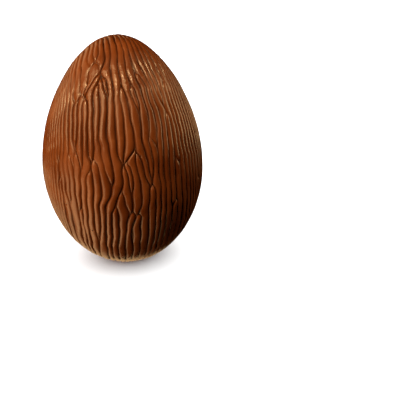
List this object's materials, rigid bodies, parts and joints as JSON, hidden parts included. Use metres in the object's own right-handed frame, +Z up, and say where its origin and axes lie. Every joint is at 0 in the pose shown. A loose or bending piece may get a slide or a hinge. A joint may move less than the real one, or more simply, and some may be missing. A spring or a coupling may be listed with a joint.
{
  "type": "chocolate egg",
  "caption": "Moulded milk chocolate egg with bark-like wavy ridges, standing upright on the small flat foot of its broad end.",
  "frame": {"origin": "middle of the flat foot under the broad end", "axes": "+Z up through the tip, the front mould half towards -Y, the seam between the halves in the plane y = 0"},
  "size_m": [0.1034, 0.1028, 0.1467],
  "materials": {
    "milk_chocolate": "satin"
  },
  "bodies": {
    "root": {"egg": "milk_chocolate"}
  },
  "joints": []
}
